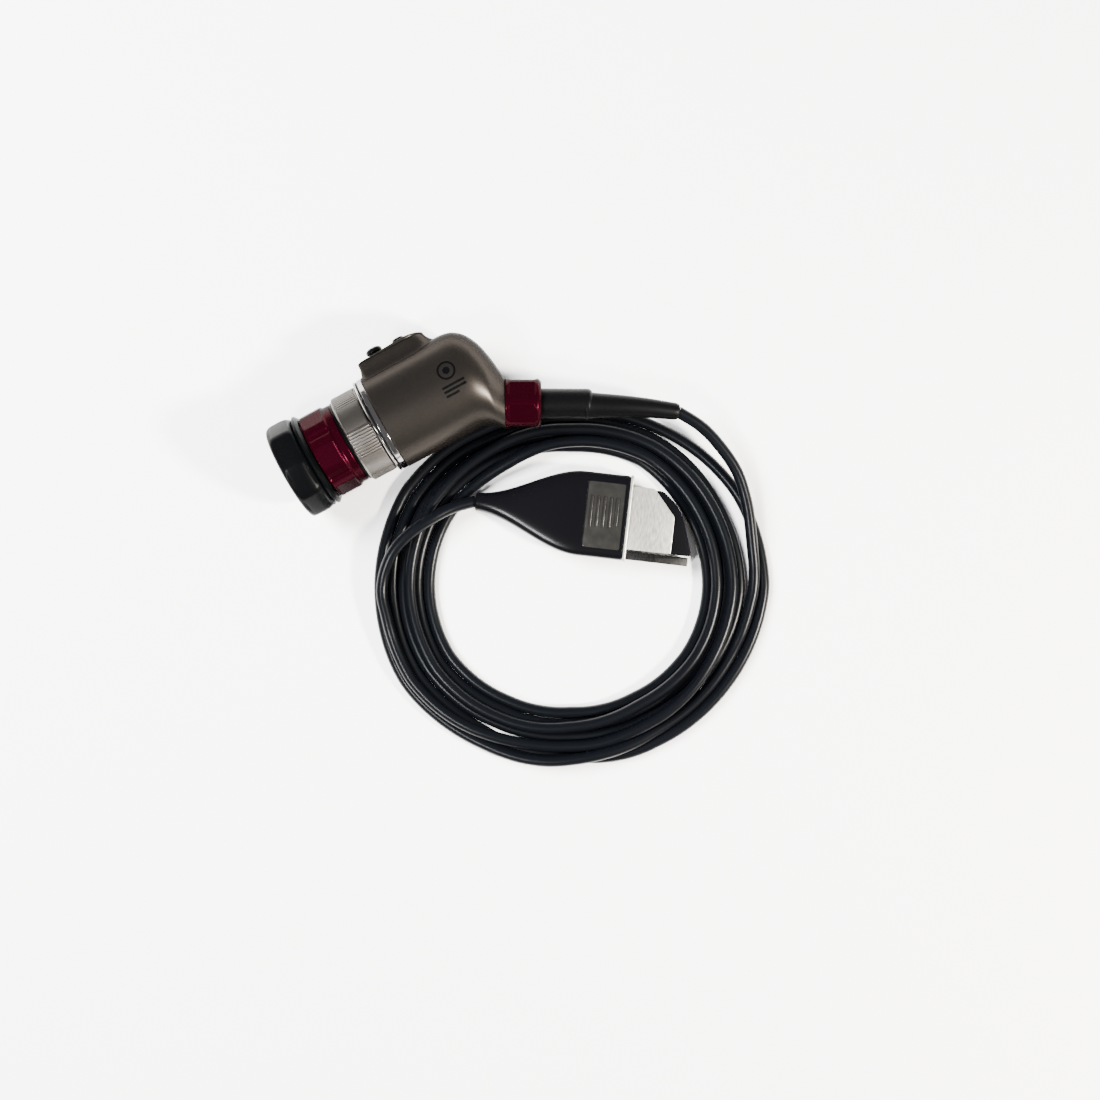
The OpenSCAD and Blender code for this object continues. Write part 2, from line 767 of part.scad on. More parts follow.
// Free cable: smooth curve through hand-placed points, with a ring of corners at each step
function spline(p, i, t) =
    let (a = p[max(i - 1, 0)], b = p[i], c = p[i + 1], d = p[min(i + 2, len(p) - 1)])
    0.5 * ((2 * b) + (c - a) * t + (2 * a - 5 * b + 4 * c - d) * pow(t, 2)
        + (3 * b - 3 * c + d - a) * pow(t, 3));
function route(p, steps) = [for (i = [0:len(p) - 2], k = [0:steps - 1]) spline(p, i, k / steps),
    p[len(p) - 1]];
function unit(v) = v / norm(v);
function heading(p, i) = unit(p[min(i + 1, len(p) - 1)] - p[max(i - 1, 0)]);

// Tube along points p whose radius runs from r1 to r2
module swept(p, r1, r2, sides) {
    n = len(p);
    corners = [for (i = [0:n - 1])
        let (t = heading(p, i), across = unit(cross([0, 0, 1], t)), up = cross(t, across),
            r = r1 + (r2 - r1) * i / (n - 1))
        for (k = [0:sides - 1])
            p[i] + r * (cos(360 * k / sides) * across + sin(360 * k / sides) * up)];
    walls = [for (i = [0:n - 2], k = [0:sides - 1])
        let (a = i * sides + k, b = i * sides + (k + 1) % sides)
        [a, a + sides, b + sides, b]];
    polyhedron(corners, concat(walls, [[for (k = [0:sides - 1]) k]],
        [[for (k = [sides - 1:-1:0]) (n - 1) * sides + k]]), convexity = 6);
}

module boot_sleeve() {
    color("#2f3032") swept(route(sleeve_pts, cord_steps), sleeve_r1, sleeve_r2, 16);
}

module cord_lead() {
    color("#141519") swept(route(lead_pts, cord_steps), cord_d / 2, cord_d / 2, cord_sides);
}

module cord_tail() {
    color("#141519") swept(route(tail_pts, cord_steps), cord_d / 2, cord_d / 2, cord_sides);
}

function ellipse(long, short) = [for (i = [0:coil_facets - 1])
    [long / 2 * cos(360 * i / coil_facets), short / 2 * sin(360 * i / coil_facets)]];

module cord_coil() {
    color("#17181c") linear_extrude(coil_h) difference() {
        translate(coil_centre) rotate(coil_turn) polygon(ellipse(coil_long, coil_short));
        translate(hole_centre) rotate(coil_turn) polygon(ellipse(hole_long, hole_short));
    }
}

// Plug
// Share of the flare reached at t of its length: slow at both ends
function ease(t) = pow(t, 2) * (3 - 2 * t);

module plug_body(inset) {
    half = plug_w / 2;
    tail_r = tail_d / 2;
    intersection() {
        linear_extrude(plug_t) polygon([
            for (i = [0:flare_steps])
                [flare_l * i / flare_steps, -tail_r - (half - tail_r) * ease(i / flare_steps)],
            [rim_s, -half], [rim_s, half],
            for (i = [flare_steps:-1:0])
                [flare_l * i / flare_steps, tail_r + (half - tail_r) * ease(i / flare_steps)]]);
        translate([0, half + 1, plug_t / 2]) rotate([90, 0, 0]) linear_extrude(plug_w + 2)
            polygon([for (i = [0:flare_steps])
                    [flare_l * i / flare_steps, -tail_r - (plug_t / 2 - tail_r) * ease(i / flare_steps)],
                [rim_s, -plug_t / 2], [rim_s, plug_t / 2],
                for (i = [flare_steps:-1:0])
                    [flare_l * i / flare_steps, tail_r + (plug_t / 2 - tail_r) * ease(i / flare_steps)]]);
    }
}

module plug_overmould() {
    color("#141417") at_plug() difference() {
        plug_body(0);
        translate([flare_l + 3, -plate_low_w, (plug_t - insulator_t) / 2])
            cube([grip_l, 2 * plate_low_w, insulator_t]);
        for (z = [-1, plug_t - pad_recess])
            translate([flare_l + (grip_l - grip_pad_l) / 2, -grip_pad_w / 2, z])
                cube([grip_pad_l, grip_pad_w, 1 + (z < 0 ? pad_recess : 0)]);
    }
}

module plug_grip_pads() {
    color("#3c3c3e") at_plug() for (z = [0, plug_t - pad_recess])
        translate([flare_l + (grip_l - grip_pad_l) / 2, -grip_pad_w / 2, z])
            cube([grip_pad_l, grip_pad_w, pad_recess]);
}

// Rectangle from one x to another whose far corner on the +y side is cut off
module cut_outline(from, to, low_w, top_w) {
    polygon([[from, -low_w], [to, -low_w], [to, top_w - plate_cut_w],
        [to - plate_cut_l, top_w], [from, top_w]]);
}

module plug_shell() {
    half = plug_w / 2;
    low = (plug_t - insulator_t) / 2;
    color("silver") at_plug() {
        difference() {
            translate([rim_s, -half - rim_proud, 0]) cube([rim_t, plug_w + 2 * rim_proud, plug_t]);
            translate([rim_s - 1, -plate_low_w, low])
                cube([rim_t + 2, 2 * plate_low_w, insulator_t]);
        }
        for (z = [low - plate_t, plug_t - low])
            translate([0, 0, z]) linear_extrude(plate_t)
                cut_outline(plate_s, plate_s + plate_l, plate_low_w, plate_top_w);
    }
}

// Outline of the insulator or its slot, with the slanted mouth and its cut corner
module mouth_outline(from, half, over) {
    mouth_s = plate_s + plate_l + insulator_over + over;
    polygon([[from, -half], [mouth_s + mouth_slant, -half], [mouth_s, half - plate_cut_w],
        [mouth_s - plate_cut_l, half], [from, half]]);
}

// Insulator with a slot for the edge board; it fills the shell from inside the overmould
module plug_insulator() {
    low = (plug_t - insulator_t) / 2;
    color("#101012") at_plug() difference() {
        translate([0, 0, low + seat]) linear_extrude(insulator_t - 2 * seat)
            mouth_outline(flare_l + 3 + seat, plate_low_w - seat, 0);
        translate([0, 0, plug_t / 2 - edge_board_t / 2 - slot_gap])
            linear_extrude(edge_board_t + 2 * slot_gap)
                mouth_outline(rim_s, board_w + slot_gap, 0.5);
    }
}

module plug_rail() {
    color("#9a9b9c") at_plug()
        translate([plate_s, -plug_w / 2 + 0.6, 2.4]) cube([rail_l, rail_w, plug_t - 4.8]);
}

module plug_board() {
    color("darkgreen") at_plug()
        translate([0, 0, plug_t / 2 - edge_board_t / 2]) linear_extrude(edge_board_t)
            cut_outline(rim_s + 0.1, plate_s + plate_l, board_w, board_w);
}

module plug_contacts() {
    span = contact_pitch * (contact_count - 1);
    color("gold") at_plug() for (i = [0:contact_count - 1], z = [-1, 1])
        translate([plate_s + plate_l - contact_l - 2, contact_y + i * contact_pitch - span / 2 - 0.5,
            plug_t / 2 + z * (edge_board_t + contact_t) / 2 - contact_t / 2])
            cube([contact_l, 1, contact_t]);
}

at_head() coupler_ring();
at_head() coupler_body();
at_head() jaw_1();
at_head() jaw_2();
at_head() jaw_3();
at_head() coupler_spring();
at_head() coupler_circlip();
at_head() window_retainer();
at_head() front_window();
at_head() window_seal();
at_head() lens_barrel();
at_head() focus_ring();
at_head() focus_cell();
at_head() focus_lens();
at_head() focus_pin();
at_head() neck_spacer();
at_head() zoom_ring();
at_head() zoom_cell();
at_head() zoom_lens();
at_head() zoom_pin();
at_head() relay_cell();
at_head() relay_lens();
at_head() bezel_ring();
at_head() bezel_seal();
at_head() housing_shell();
at_head() button_cover();
at_head() front_button();
at_head() rear_button();
at_head() button_gasket();
at_head() tact_switches();
at_head() switch_board();
at_head() chassis();
at_head() prism_block();
at_head() sensor_red();
at_head() sensor_green();
at_head() sensor_blue();
at_head() main_board();
at_head() board_screws();
at_head() gland_nut();
at_head() gland_seal();
at_head() cable_clamp();
at_head() boot();
boot_sleeve();
cord_lead();
cord_coil();
cord_tail();
plug_overmould();
plug_grip_pads();
plug_shell();
plug_insulator();
plug_rail();
plug_board();
plug_contacts();
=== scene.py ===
"""Looks of an endoscopic video camera head with its coiled cable and flat plug, on a pale table."""

import json
from math import cos, pi, radians, sin

import bmesh
import bpy
import numpy as np
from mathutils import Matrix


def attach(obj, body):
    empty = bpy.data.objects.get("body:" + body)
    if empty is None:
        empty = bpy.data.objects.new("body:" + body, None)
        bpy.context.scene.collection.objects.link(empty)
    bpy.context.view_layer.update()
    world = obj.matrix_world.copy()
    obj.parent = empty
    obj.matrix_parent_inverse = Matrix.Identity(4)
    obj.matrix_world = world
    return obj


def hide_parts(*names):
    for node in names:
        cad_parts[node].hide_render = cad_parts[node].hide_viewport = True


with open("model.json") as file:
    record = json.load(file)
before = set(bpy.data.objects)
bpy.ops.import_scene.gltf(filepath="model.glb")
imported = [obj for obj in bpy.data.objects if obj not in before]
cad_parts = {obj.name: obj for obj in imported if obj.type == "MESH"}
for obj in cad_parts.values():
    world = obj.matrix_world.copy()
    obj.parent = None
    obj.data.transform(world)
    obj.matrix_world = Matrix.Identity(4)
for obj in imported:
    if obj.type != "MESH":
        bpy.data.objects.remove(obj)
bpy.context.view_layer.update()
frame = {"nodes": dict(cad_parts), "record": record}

MM = 0.001

# Middle of the coupler's front, of the plug's cable end and of the coil, over the table
HEAD = np.array([54.978, -1.814, 20.85])
PLUG = np.array([-7, 44, 0])
COIL = np.array([-25, 95.5])
# Foot of the cable gland in the head's own frame
GLAND = np.array([0, 16.9, 92.4])

GLAND_TILT = radians(28.5)
PLUG_TURN = radians(145)
TABLE_TURN = radians(151.5)
SHARP_FROM = radians(35)

CORD_R = 2.5
RING_BORE_R = 16.66
HOUSING_R = 20.65

RIGHT = np.array([cos(TABLE_TURN), sin(TABLE_TURN)])
UP = np.array([-sin(TABLE_TURN), cos(TABLE_TURN)])


# ---------------------------------------------------------------- places

def head(points):
    """Points (up, side, along) of the head's own frame, in the table's frame."""
    p = np.asarray(points, float)
    return np.stack([HEAD[0] - p[..., 2], HEAD[1] + p[..., 1], HEAD[2] + p[..., 0]], -1)


def gland(points):
    """Points of the cable gland's frame, whose third axis runs out of the gland."""
    p = np.asarray(points, float)
    c, s = cos(GLAND_TILT), sin(GLAND_TILT)
    side = GLAND[1] + p[..., 1] * c + p[..., 2] * s
    along = GLAND[2] - p[..., 1] * s + p[..., 2] * c
    return head(np.stack([p[..., 0], side, along], -1))


def plug(points):
    """Points of the plug's frame: along it, across it and up from the table."""
    p = np.asarray(points, float)
    c, s = cos(PLUG_TURN), sin(PLUG_TURN)
    x = PLUG[0] + p[..., 0] * c - p[..., 1] * s
    y = PLUG[1] + p[..., 0] * s + p[..., 1] * c
    return np.stack([x, y, p[..., 2]], -1)


def on_table(right, up, z=0):
    """Point over the table, measured from the coil's middle as the camera sees it."""
    x, y = COIL + right * RIGHT + up * UP
    return np.array([x, y, z])


# ---------------------------------------------------------------- camera and table

def make_camera():
    """Camera straight above the table."""
    data = bpy.data.cameras.new("camera")
    data.lens = 47.5
    cam = bpy.data.objects.new("camera", data)
    cam.location = (-0.0248, 0.0771, 0.6209)
    cam.rotation_euler = (0, 0, TABLE_TURN)
    bpy.context.scene.collection.objects.link(cam)
    bpy.context.scene.camera = cam


def make_light(name, round_by, rise, far, size, power, colour=(1, 1, 1), mirrored=True):
    """Soft disc lamp: degrees round the table as the camera sees it, degrees up, metres away."""
    data = bpy.data.lights.new(name, "AREA")
    data.shape, data.size, data.energy, data.color = "DISK", size, power, colour
    lamp = bpy.data.objects.new(name, data)
    lamp.visible_glossy = mirrored
    a, e = radians(round_by), radians(rise)
    lamp.location = on_table(far * 1000 * cos(a) * cos(e), far * 1000 * sin(a) * cos(e),
                             far * 1000 * sin(e)) * MM
    aim = bpy.context.scene.camera.location.copy()
    aim.z = 0.01
    lamp.rotation_euler = (aim - lamp.location).to_track_quat("-Z", "Y").to_euler()
    bpy.context.scene.collection.objects.link(lamp)


def make_floor():
    """Sheet of pale paper under the object."""
    half = 2.0
    mesh = bpy.data.meshes.new("floor")
    mesh.from_pydata([(-half, -half, 0), (half, -half, 0), (half, half, 0), (-half, half, 0)],
                     [], [(0, 1, 2, 3)])
    floor = bpy.data.objects.new("floor", mesh)
    bpy.context.scene.collection.objects.link(floor)
    paper = bpy.data.materials.new("paper")
    paper.use_nodes = True
    shader = paper.node_tree.nodes["Principled BSDF"]
    shader.inputs["Base Color"].default_value = (0.93, 0.93, 0.93, 1)
    shader.inputs["Roughness"].default_value = 0.9
    shader.inputs["Specular IOR Level"].default_value = 0.1
    mesh.materials.append(paper)


def make_world():
    """Dim, even light from all sides."""
    world = bpy.data.worlds.new("studio")
    world.use_nodes = True
    back = world.node_tree.nodes["Background"]
    back.inputs["Color"].default_value = (0.97, 0.98, 1.0, 1)
    back.inputs["Strength"].default_value = 0.3
    bpy.context.scene.world = world


# ---------------------------------------------------------------- materials

def surface(name, colour, metallic=0.0, rough=0.5, coat=0.0, specular=0.5, stretch=(1, 1, 1),
            grain=2600.0, tint=0.12, rough_swing=0.08, bump=0.0, edge=1.0, turn=0.0):
    """Procedural finish: a fine grain on the object's own coordinates drives tone, gloss and relief."""
    mat = bpy.data.materials.new(name)
    mat.use_nodes = True
    nodes, links = mat.node_tree.nodes, mat.node_tree.links
    shader = nodes["Principled BSDF"]
    shader.inputs["Metallic"].default_value = metallic
    shader.inputs["Coat Weight"].default_value = coat
    shader.inputs["Coat Roughness"].default_value = 0.12
    shader.inputs["Specular IOR Level"].default_value = specular
    shader.inputs["Specular Tint"].default_value = (edge, edge, edge, 1)
    place = nodes.new("ShaderNodeTexCoord")
    scale = nodes.new("ShaderNodeMapping")
    scale.vector_type = "TEXTURE"
    scale.inputs["Rotation"].default_value = (0, 0, turn)
    scale.inputs["Scale"].default_value = [1 / v for v in stretch]
    noise = nodes.new("ShaderNodeTexNoise")
    noise.inputs["Scale"].default_value = grain
    noise.inputs["Detail"].default_value = 4
    links.new(place.outputs["Object"], scale.inputs["Vector"])
    links.new(scale.outputs["Vector"], noise.inputs["Vector"])
    tone = nodes.new("ShaderNodeValToRGB")
    dark = [c * (1 - tint) for c in colour]
    light = [min(1, c * (1 + tint)) for c in colour]
    tone.color_ramp.elements[0].position, tone.color_ramp.elements[0].color = 0.3, (*dark, 1)
    tone.color_ramp.elements[1].position, tone.color_ramp.elements[1].color = 0.7, (*light, 1)
    links.new(noise.outputs["Fac"], tone.inputs["Fac"])
    links.new(tone.outputs["Color"], shader.inputs["Base Color"])
    gloss = nodes.new("ShaderNodeMapRange")
    gloss.inputs["To Min"].default_value = max(0.02, rough - rough_swing)
    gloss.inputs["To Max"].default_value = min(1, rough + rough_swing)
    links.new(noise.outputs["Fac"], gloss.inputs["Value"])
    links.new(gloss.outputs["Result"], shader.inputs["Roughness"])
    if bump:
        relief = nodes.new("ShaderNodeBump")
        relief.inputs["Strength"].default_value = bump
        relief.inputs["Distance"].default_value = 0.00012
        links.new(noise.outputs["Fac"], relief.inputs["Height"])
        links.new(relief.outputs["Normal"], shader.inputs["Normal"])
    return mat


def make_materials():
    """Every finish by its slot's name."""
    along_plug = dict(stretch=(5, 1, 1), turn=PLUG_TURN)
    finishes = {
        "anodised_black": dict(colour=(0.001, 0.0011, 0.0013), rough=0.32, specular=0.035,
                               bump=0.05),
        "steel": dict(colour=(0.42, 0.41, 0.39), metallic=1, rough=0.28, stretch=(1, 6, 6),
                      bump=0.05),
        # Coated lens over a dark barrel
        "optical_glass": dict(colour=(0.006, 0.01, 0.022), rough=0.04, rough_swing=0.01,
                              tint=0.2, specular=0.2, grain=40),
        "seal_rubber": dict(colour=(0.002, 0.002, 0.002), rough=0.6, specular=0.1, bump=0.2),
        "anodised_red": dict(colour=(0.019, 0.0007, 0.0038), metallic=0.75, rough=0.27,
                             specular=0.15, tint=0.08, rough_swing=0.04, edge=0.3),
        "satin_nickel": dict(colour=(0.155, 0.143, 0.132), metallic=1, rough=0.4, tint=0.2,
                             stretch=(5, 1, 1), bump=0.1, edge=0.75),
        "bright_chrome": dict(colour=(0.3, 0.285, 0.28), metallic=1, rough=0.13, tint=0.06,
                              stretch=(4, 1, 1), edge=0.7),
        "titanium": dict(colour=(0.031, 0.0272, 0.0245), metallic=0.9, rough=0.35,
                         specular=0.25, tint=0.1, rough_swing=0.05, bump=0.09, edge=0.3),
        "chassis_metal": dict(colour=(0.4, 0.4, 0.4), metallic=1, rough=0.45, bump=0.1),
        "button_rubber": dict(colour=(0.0012, 0.0012, 0.0012), rough=0.35, specular=0.06,
                              bump=0.1),
        "circuit_board": dict(colour=(0.01, 0.12, 0.05), rough=0.4, tint=0.3),
        "sensor_package": dict(colour=(0.12, 0.1, 0.14), metallic=0.2, rough=0.25, tint=0.2),
        "boot_rubber": dict(colour=(0.0012, 0.0012, 0.0014), rough=0.42, specular=0.055,
                            tint=0.25, bump=0.25),
        "cable_jacket": dict(colour=(0.0014, 0.0017, 0.0024), rough=0.3, tint=0.12,
                             rough_swing=0.05, specular=0.1, bump=0.02),
        "plug_black": dict(colour=(0.0013, 0.0013, 0.0018), rough=0.25, specular=0.12,
                           bump=0.02, tint=0.05, rough_swing=0.03),
        "plug_pad": dict(colour=(0.009, 0.0088, 0.008), metallic=0.1, rough=0.2, coat=0.2,
                         specular=0.45, tint=0.2, grain=240, bump=0.03),
        "plug_metal": dict(colour=(0.56, 0.55, 0.5), metallic=0.8, rough=0.36, tint=0.28,
                           grain=320, bump=0.1, **along_plug),
        "plug_rail_metal": dict(colour=(0.02, 0.02, 0.0195), metallic=0.9, rough=0.36,
                                tint=0.5, grain=400, bump=0.15, **along_plug),
        "contact_gold": dict(colour=(0.8, 0.55, 0.2), metallic=1, rough=0.25),
    }
    return {name: surface(name, **finish) for name, finish in finishes.items()}


# ---------------------------------------------------------------- building shapes

def piece(name, verts, faces, slot, body, nodes):
    """A finished mesh in millimetres of the table's frame, standing for some CAD nodes."""
    mesh = bpy.data.meshes.new(name)
    mesh.from_pydata((np.asarray(verts) * MM).tolist(), [], faces)
    shape = bmesh.new()
    shape.from_mesh(mesh)
    bmesh.ops.remove_doubles(shape, verts=shape.verts, dist=1e-7)
    bmesh.ops.recalc_face_normals(shape, faces=shape.faces)
    shape.to_mesh(mesh)
    shape.free()
    mesh.shade_smooth()
    mesh.set_sharp_from_angle(angle=SHARP_FROM)
    mesh.materials.append(LOOK[slot])
    obj = bpy.data.objects.new(name, mesh)
    bpy.context.scene.collection.objects.link(obj)
    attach(obj, body)
    if nodes:
        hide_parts(*nodes)
    return obj


def skin(rings, loop=False, caps=False):
    """Quads between rings of points (rings x points x 3); loop joins the last ring to the first."""
    rings = np.asarray(rings)
    m, n = rings.shape[:2]
    faces = []
    for i in range(m if loop else m - 1):
        a, b = i * n, (i + 1) % m * n
        faces += [(a + j, a + (j + 1) % n, b + (j + 1) % n, b + j) for j in range(n)]
    if caps:
        faces += [tuple(range(n)), tuple(range((m - 1) * n, m * n))]
    return rings.reshape(-1, 3), faces


def rounded(profile, radius, steps=4):
    """A closed outline with each of its corners rounded by at most that radius."""
    pts = np.asarray(profile, float)
    out = []
    for i, p in enumerate(pts):
        a, b = pts[i - 1] - p, pts[(i + 1) % len(pts)] - p
        la, lb = np.linalg.norm(a), np.linalg.norm(b)
        r = min(radius, la * 0.45, lb * 0.45)
        p0, p2 = p + a / la * r, p + b / lb * r
        for k in range(steps + 1):
            t = k / steps
            out.append((1 - t) ** 2 * p0 + 2 * t * (1 - t) * p + t ** 2 * p2)
    return np.array(out)


def oblong(x0, x1, y0, y1, radius):
    """Outline of an upright rectangle with rounded corners."""
    return rounded([(x0, y0), (x1, y0), (x1, y1), (x0, y1)], radius)


def turned(profile, place=head, radius=0.25, sides=144, shape=None):
    """Ring turned from a closed outline of (along, radius) points; shape trims each radius."""
    outline = rounded(profile, radius)
    phi = np.linspace(0, 2 * pi, sides, endpoint=False)
    rings = []
    for along, r in outline:
        rr = np.full(sides, r) if shape is None else shape(along, np.full(sides, r), phi)
        rings.append(np.stack([rr * np.cos(phi), rr * np.sin(phi), np.full(sides, along)], -1))
    return skin(place(np.array(rings)), loop=True)


def slab(outline, low, high, place=plug, bevel=0.3, steps=3):
    """Flat piece with a rounded edge all round, from an outline that runs anticlockwise."""
    pts = np.asarray(outline, float)
    before, after = pts - np.roll(pts, 1, 0), np.roll(pts, -1, 0) - pts
    before /= np.linalg.norm(before, axis=1)[:, None]
    after /= np.linalg.norm(after, axis=1)[:, None]
    inward = np.stack([-(before + after)[:, 1], (before + after)[:, 0]], -1)
    inward /= np.maximum(1, np.linalg.norm(inward, axis=1) ** 2 / 2)[:, None]
    rings = []
    for k in range(steps + 1):
        a = pi / 2 * k / steps
        rings.append((bevel * (1 - sin(a)), low + bevel * (1 - cos(a))))
    rings += [(inset, low + high - z) for inset, z in reversed(rings)]
    stack = [np.column_stack([pts + inset * inward, np.full(len(pts), z)]) for inset, z in rings]
    return skin(place(np.array(stack)), caps=True)


def join(*parts):
    """Several (points, faces) shapes as one."""
    verts, faces = [], []
    for v, f in parts:
        start = sum(len(x) for x in verts)
        verts.append(np.asarray(v))
        faces += [tuple(start + i for i in face) for face in f]
    return np.concatenate(verts), faces


def smooth_line(points, steps):
    """Points along a Catmull-Rom curve through the given ones."""
    p = np.asarray(points, float)
    p = np.vstack([p[:1], p, p[-1:]])
    out = []
    for i in range(1, len(p) - 2):
        a, b, c, d = p[i - 1:i + 3]
        for k in range(steps):
            t = k / steps
            out.append(0.5 * (2 * b + (c - a) * t + (2 * a - 5 * b + 4 * c - d) * t ** 2
                              + (3 * b - 3 * c + d - a) * t ** 3))
    return np.array(out + [p[-1]])


def even_line(points, spacing):
    """The same line with its points evenly spaced."""
    far = np.concatenate([[0], np.cumsum(np.linalg.norm(np.diff(points, axis=0), axis=1))])
    at = np.linspace(0, far[-1], max(2, int(round(far[-1] / spacing)) + 1))
    return np.stack([np.interp(at, far, points[:, k]) for k in range(3)], -1)


# ---------------------------------------------------------------- cable

SLEEVE = [[-69, 33.1, 20.9], [-79, 38.9, 20.6], [-89, 45.1, 19.6], [-99, 52, 17.8]]
LEAD = [[-99, 52, 17.8], [-105.3, 63, 15.6], [-108.6, 75.7, 13.2], [-109.6, 85.7, 11.2],
        [-108.7, 92.9, 9.8], [-107.1, 99.7, 8.8], [-105, 106.2, 8]]
TAIL = [[47, 60, 7.6], [42, 53, 8.6], [34, 46.5, 10.8], [24, 43, 11.8], [13, 41.8, 11.4],
        [3, 41.8, 9.2], [-7, 44, 7]]
# How far the coil's inner and outer edges are from its middle, every 30 degrees
INNER = [57.0, 58.0, 60.0, 57.6, 57.4, 58.0, 57.9, 57.0, 53.0, 50.9, 52.0, 55.3]
OUTER = [84.0, 83.2, 79.5, 77.0, 78.6, 83.8, 83.8, 83.2, 79.0, 76.4, 76.4, 79.6]
# Each turn's lane: degrees into the turn, place from the inner edge (0) to the outer (1), height
TURNS = [
    [(-10, 0.9, 6.6), (0, 0.79, 4.6), (30, 0.76, 2.8), (70, 0.84, 6.9), (110, 0.94, 6.9),
     (150, 1, 2.8), (270, 1, 2.5), (330, 1, 2.5)],
    [(0, 1, 2.5), (60, 1, 2.5), (120, 0.76, 2.5), (225, 0.75, 2.5), (270, 0.66, 2.5),
     (300, 0.66, 2.5), (330, 0.5, 2.5)],
    [(0, 0.52, 2.5), (225, 0.5, 2.5), (270, 0.33, 2.5), (330, 0.25, 2.5)],
    [(0, 0.27, 2.5), (225, 0.24, 2.5), (270, 0, 2.5), (330, 0, 2.5)],
    [(0, 0, 2.5), (180, 0, 2.5), (225, 0.03, 4.6), (270, 0.17, 6.9), (330, 0.13, 6.9)],
    [(0, 0.13, 6.9), (180, 0.37, 6.9), (270, 0.5, 6.9), (330, 0.38, 6.9)],
    [(0, 0.39, 6.9), (90, 0.62, 6.9), (150, 0.82, 7.2), (170, 0.88, 7.4)],
]


def lanes():
    """The coil's turns as one line, before it settles."""
    far, across, height = [], [], []
    for turn, keys in enumerate(TURNS):
        for offset, lane, z in keys:
            far.append(360 * turn + offset)
            across.append(lane)
            height.append(z)
    at = np.arange(-8, far[-1] + 1, 2.0)
    lane, z = np.interp(at, far, across), np.interp(at, far, height)
    ease = np.hanning(17) / np.hanning(17).sum()
    lane = np.convolve(np.pad(lane, 8, "edge"), ease, "valid")
    z = np.convolve(np.pad(z, 8, "edge"), ease, "valid")
    angle = (-at) % 360
    inner = np.interp(angle, np.arange(0, 390, 30), INNER + INNER[:1])
    outer = np.interp(angle, np.arange(0, 390, 30), OUTER + OUTER[:1])
    r = inner + 2.55 + lane * (outer - inner - 5.1)
    r = r + 0.5 * np.sin(np.radians(at * 0.37)) + 0.35 * np.sin(np.radians(at * 1.13 + 40))
    a = np.radians(angle)
    flat = COIL + np.outer(r * np.cos(a), RIGHT) + np.outer(r * np.sin(a), UP)
    return np.column_stack([flat, z])


def clear_of_head(p):
    """Pushes points out of the housing's barrel and of the gland nut."""
    out = p.copy()
    near = (p[:, 0] > -28) & (p[:, 0] < 12)
    gap = p[near][:, 1:] - HEAD[1:]
    far = np.linalg.norm(gap, axis=1)
    out[near, 1:] = HEAD[1:] + gap * np.maximum(1, (20.75 + CORD_R) / far)[:, None]
    return out


def settle(line, rounds):
    """Lets the line drop onto the table and itself, each strand pushing its neighbours aside."""
    sink, same_strand, gap_between = 0.06, 4, 0.08
    p, wish = line.copy(), line.copy()
    n = len(p)
    hold = np.full(n, 0.02)
    hold[:28], hold[-20:] = 0.3, 0.3
    hold[:3], hold[-3:] = 1, 1
    apart = np.abs(np.subtract.outer(np.arange(n), np.arange(n))) > same_strand
    reach = 2 * CORD_R + gap_between
    for _ in range(rounds):
        p[:, 2] -= sink
        gap = p[:, None, :] - p[None, :, :]
        far = np.sqrt((gap ** 2).sum(-1)) + 1e-9
        push = np.where(apart & (far < reach), (reach - far) / far, 0)
        hits = np.maximum(1, (push > 0).sum(1))
        p += 0.5 * (push[..., None] * gap).sum(1) / np.sqrt(hits)[:, None]
        off = p - wish
        off[1:-1] = 0.5 * off[1:-1] + 0.25 * (off[:-2] + off[2:])
        p = wish + off * (1 - hold[:, None])
        p = clear_of_head(p)
        p[:, 2] = np.maximum(p[:, 2], CORD_R + 0.02)
    return p


def make_cord():
    """The whole cable from the sleeve to the plug, with its length and where it starts."""
    rounds = 220
    line = np.vstack([smooth_line(LEAD, 8)[:-1], lanes(), smooth_line(TAIL, 8)])
    line = settle(even_line(line, 4.0), rounds)
    line = even_line(smooth_line(line, 3), 2.6)
    length = np.linalg.norm(np.diff(line, axis=0), axis=1).sum() * MM
    data = bpy.data.curves.new("cord", "CURVE")
    data.dimensions = "3D"
    data.bevel_depth = CORD_R * MM
    data.bevel_resolution = 4
    data.use_fill_caps = True
    spline = data.splines.new("POLY")
    spline.points.add(len(line) - 1)
    for spot, p in zip(spline.points, line * MM):
        spot.co = (*p, 1)
    spline.use_smooth = True
    data.materials.append(LOOK["cable_jacket"])
    cord = bpy.data.objects.new("cord", data)
    bpy.context.scene.collection.objects.link(cord)
    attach(cord, "head")
    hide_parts("cord_lead", "cord_coil", "cord_tail")
    return cord, length, line[0] * MM


def hose(points, radii, sides=40):
    """Solid round tube along a line, with its radius changing on the way."""
    p = np.asarray(points, float)
    ahead = np.gradient(p, axis=0)
    ahead /= np.linalg.norm(ahead, axis=1)[:, None]
    side = np.cross(ahead, [0, 0, 1])
    side /= np.linalg.norm(side, axis=1)[:, None]
    over = np.cross(side, ahead)
    phi = np.linspace(0, 2 * pi, sides, endpoint=False)
    rings = [p[i] + r * (np.outer(np.cos(phi), side[i]) + np.outer(np.sin(phi), over[i]))
             for i, r in enumerate(radii)]
    return skin(rings, caps=True)


